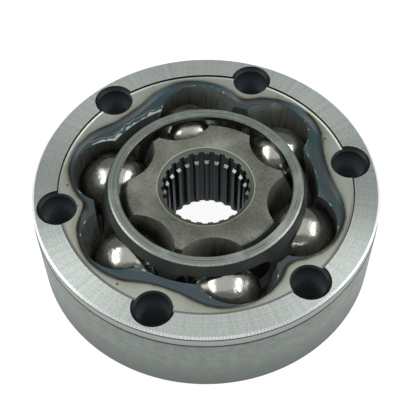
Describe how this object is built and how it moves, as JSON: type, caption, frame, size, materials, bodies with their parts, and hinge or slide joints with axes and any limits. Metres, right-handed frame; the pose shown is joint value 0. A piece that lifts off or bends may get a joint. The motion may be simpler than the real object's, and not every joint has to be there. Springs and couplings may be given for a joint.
{
  "type": "constant-velocity joint",
  "caption": "Cross-groove plunging constant-velocity joint: bolted outer race, star-shaped splined inner race, spherical ball cage and steel balls; the inner race tilts on two axes.",
  "frame": {"origin": "centre of the outer race's back face, on the joint's axis, at the bottom of the whole joint", "axes": "+Z along the joint's axis, out of the face that carries the witness line; +X through the middle of ball_1"},
  "size_m": [0.108, 0.108, 0.0305],
  "materials": {
    "ground_steel": "turned and ground, satin",
    "phosphated_steel": "forged and hardened, matt grey",
    "hardened_cage_steel": "case hardened, dark satin",
    "ball_steel": "mirror polished"
  },
  "bodies": {
    "outer_race": {"outer_race": "ground_steel"},
    "inner_race": {"inner_race": "phosphated_steel"},
    "cage": {"ball_cage": "hardened_cage_steel"},
    "ball_1": {"ball_1": "ball_steel"},
    "ball_2": {"ball_2": "ball_steel"},
    "ball_3": {"ball_3": "ball_steel"},
    "ball_4": {"ball_4": "ball_steel"},
    "ball_5": {"ball_5": "ball_steel"},
    "ball_6": {"ball_6": "ball_steel"}
  },
  "joints": [
    {"name": "tilt_y", "type": "hinge", "parent": "outer_race", "child": "ball_1", "pos_m": [0, 0, 0.0153], "axis": [0, 0.9659, 0.2588], "range_deg": [-8.02, 8.02]},
    {"name": "tilt_x", "type": "hinge", "parent": "ball_1", "child": "ball_4", "pos_m": [0, 0, 0.0153], "axis": [1, 0, 0], "range_deg": [-15.5, 15.5]},
    {"name": "hub_tilt_y", "type": "hinge", "parent": "ball_4", "child": "inner_race", "pos_m": [0, 0, 0.0153], "axis": [0, 0.9659, -0.2588], "range_deg": [-8.12, 8.12]},
    {"name": "cage_tilt_x", "type": "hinge", "parent": "ball_1", "child": "cage", "pos_m": [0, 0, 0.0153], "axis": [0.9741, 0, 0.226], "range_deg": [-8.06, 8.06]},
    {"name": "ball_2_roll", "type": "hinge", "parent": "cage", "child": "ball_2", "pos_m": [0, 0, 0.0153], "axis": [0, 0, 1], "range_deg": [-3.21, 3.21]},
    {"name": "ball_3_roll", "type": "hinge", "parent": "ball_2", "child": "ball_3", "pos_m": [0, 0, 0.0153], "axis": [0, 0, 1], "range_deg": [-3.7, 3.7]},
    {"name": "ball_5_roll", "type": "hinge", "parent": "cage", "child": "ball_5", "pos_m": [0, 0, 0.0153], "axis": [0, 0, 1], "range_deg": [-3.21, 3.21]},
    {"name": "ball_6_roll", "type": "hinge", "parent": "ball_5", "child": "ball_6", "pos_m": [0, 0, 0.0153], "axis": [0, 0, 1], "range_deg": [-3.7, 3.7]}
  ],
  "couplings": [
    {"joint": "hub_tilt_y", "follows": "tilt_y", "ratio": 1},
    {"joint": "cage_tilt_x", "follows": "tilt_x", "ratio": 0.51328},
    {"joint": "ball_2_roll", "follows": "tilt_y", "ratio": -0.38823},
    {"joint": "ball_5_roll", "follows": "tilt_y", "ratio": -0.38823},
    {"joint": "ball_3_roll", "follows": "tilt_x", "ratio": -0.23205},
    {"joint": "ball_6_roll", "follows": "tilt_x", "ratio": -0.23205}
  ]
}
